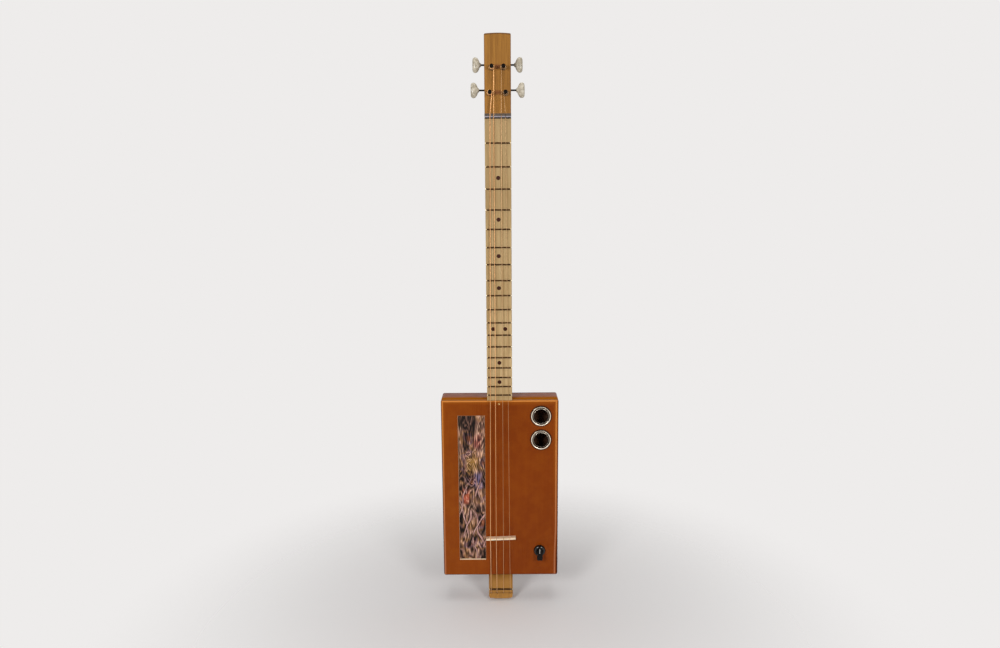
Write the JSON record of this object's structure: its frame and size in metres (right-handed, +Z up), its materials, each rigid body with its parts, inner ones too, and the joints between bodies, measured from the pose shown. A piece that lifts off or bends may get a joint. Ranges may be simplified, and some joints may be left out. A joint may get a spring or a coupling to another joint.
{
  "type": "cigar box banjo",
  "caption": "Fretted string instrument: a flat wooden box body on a through-neck, with a windowed lid, ringed sound holes, open geared tuners and a pointer volume knob.",
  "frame": {"origin": "middle of the back panel's outer face", "axes": "+X to the right seen from the front, +Y from the front to the back, +Z up the neck towards the headstock"},
  "size_m": [0.1846, 0.0623, 0.885],
  "materials": {
    "box_wood": "glossy orange-brown lacquer",
    "printed_board": "printed board under clear varnish",
    "neck_wood": "amber stain, satin oil",
    "fretboard_wood": "pale maple, satin",
    "fret_wire": "nickel silver, dulled dark",
    "nut_plastic": "grey, satin",
    "bridge_bone": "cream bone, satin",
    "grommet_metal": "polished nickel",
    "plain_string": "drawn steel",
    "bronze_string": "bronze winding",
    "tuner_plate_metal": "nickel plate",
    "tuner_shaft_metal": "blackened steel",
    "button_pearloid": "pearloid",
    "knob_plastic": "black, glossy",
    "control_metal": "satin",
    "jack_metal": "nickel plate",
    "piezo_brass": "plain"
  },
  "bodies": {
    "body": {"lid": "box_wood", "wall_left": "box_wood", "wall_right": "box_wood", "wall_top": "box_wood", "wall_bottom": "box_wood", "back_panel": "box_wood", "picture_panel": "printed_board", "grommet_upper": "grommet_metal", "grommet_lower": "grommet_metal", "neck": "neck_wood", "fretboard": "fretboard_wood", "fret_01": "fret_wire", "fret_02": "fret_wire", "fret_03": "fret_wire", "fret_04": "fret_wire", "fret_05": "fret_wire", "fret_06": "fret_wire", "fret_07": "fret_wire", "fret_08": "fret_wire", "fret_09": "fret_wire", "fret_10": "fret_wire", "fret_11": "fret_wire", "fret_12": "fret_wire", "fret_13": "fret_wire", "fret_14": "fret_wire", "fret_15": "fret_wire", "fret_16": "fret_wire", "fret_17": "fret_wire", "fret_18": "fret_wire", "nut": "nut_plastic", "bridge": "bridge_bone", "tail_wire": "fret_wire", "string_1": "plain_string", "string_2": "plain_string", "string_3": "bronze_string", "string_4": "bronze_string", "tuner_1_plate": "tuner_plate_metal", "tuner_2_plate": "tuner_plate_metal", "tuner_3_plate": "tuner_plate_metal", "tuner_4_plate": "tuner_plate_metal", "tuner_1_bushing": "tuner_plate_metal", "tuner_2_bushing": "tuner_plate_metal", "tuner_3_bushing": "tuner_plate_metal", "tuner_4_bushing": "tuner_plate_metal", "volume_pot": "control_metal", "output_jack": "jack_metal", "piezo_disc": "piezo_brass"},
    "key_1": {"tuner_1_worm": "tuner_shaft_metal", "tuner_1_button": "button_pearloid"},
    "key_2": {"tuner_2_worm": "tuner_shaft_metal", "tuner_2_button": "button_pearloid"},
    "key_3": {"tuner_3_worm": "tuner_shaft_metal", "tuner_3_button": "button_pearloid"},
    "key_4": {"tuner_4_worm": "tuner_shaft_metal", "tuner_4_button": "button_pearloid"},
    "post_1": {"tuner_1_post": "tuner_shaft_metal"},
    "post_2": {"tuner_2_post": "tuner_shaft_metal"},
    "post_3": {"tuner_3_post": "tuner_shaft_metal"},
    "post_4": {"tuner_4_post": "tuner_shaft_metal"},
    "knob": {"knob": "knob_plastic"}
  },
  "joints": [
    {"name": "key_1_turn", "type": "hinge", "parent": "body", "child": "key_1", "pos_m": [0.0116, -0.0234, 0.61616], "axis": [1, 0, 0], "continuous": true},
    {"name": "key_2_turn", "type": "hinge", "parent": "body", "child": "key_2", "pos_m": [0.0086, -0.0234, 0.65216], "axis": [1, 0, 0], "continuous": true},
    {"name": "key_3_turn", "type": "hinge", "parent": "body", "child": "key_3", "pos_m": [-0.0086, -0.0234, 0.65216], "axis": [1, 0, 0], "continuous": true},
    {"name": "key_4_turn", "type": "hinge", "parent": "body", "child": "key_4", "pos_m": [-0.0116, -0.0234, 0.61616], "axis": [1, 0, 0], "continuous": true},
    {"name": "post_1_turn", "type": "hinge", "parent": "body", "child": "post_1", "pos_m": [0.0116, -0.0234, 0.6099], "axis": [0, 1, 0], "continuous": true},
    {"name": "post_2_turn", "type": "hinge", "parent": "body", "child": "post_2", "pos_m": [0.0086, -0.0234, 0.6459], "axis": [0, 1, 0], "continuous": true},
    {"name": "post_3_turn", "type": "hinge", "parent": "body", "child": "post_3", "pos_m": [-0.0086, -0.0234, 0.6459], "axis": [0, 1, 0], "continuous": true},
    {"name": "post_4_turn", "type": "hinge", "parent": "body", "child": "post_4", "pos_m": [-0.0116, -0.0234, 0.6099], "axis": [0, 1, 0], "continuous": true},
    {"name": "knob_turn", "type": "hinge", "parent": "body", "child": "knob", "pos_m": [0.0629, -0.05, -0.1039], "axis": [0, 1, 0], "range_deg": [-150, 150]}
  ],
  "couplings": [
    {"joint": "post_1_turn", "follows": "key_1_turn", "ratio": -0.071429},
    {"joint": "post_2_turn", "follows": "key_2_turn", "ratio": -0.071429},
    {"joint": "post_3_turn", "follows": "key_3_turn", "ratio": -0.071429},
    {"joint": "post_4_turn", "follows": "key_4_turn", "ratio": -0.071429}
  ]
}
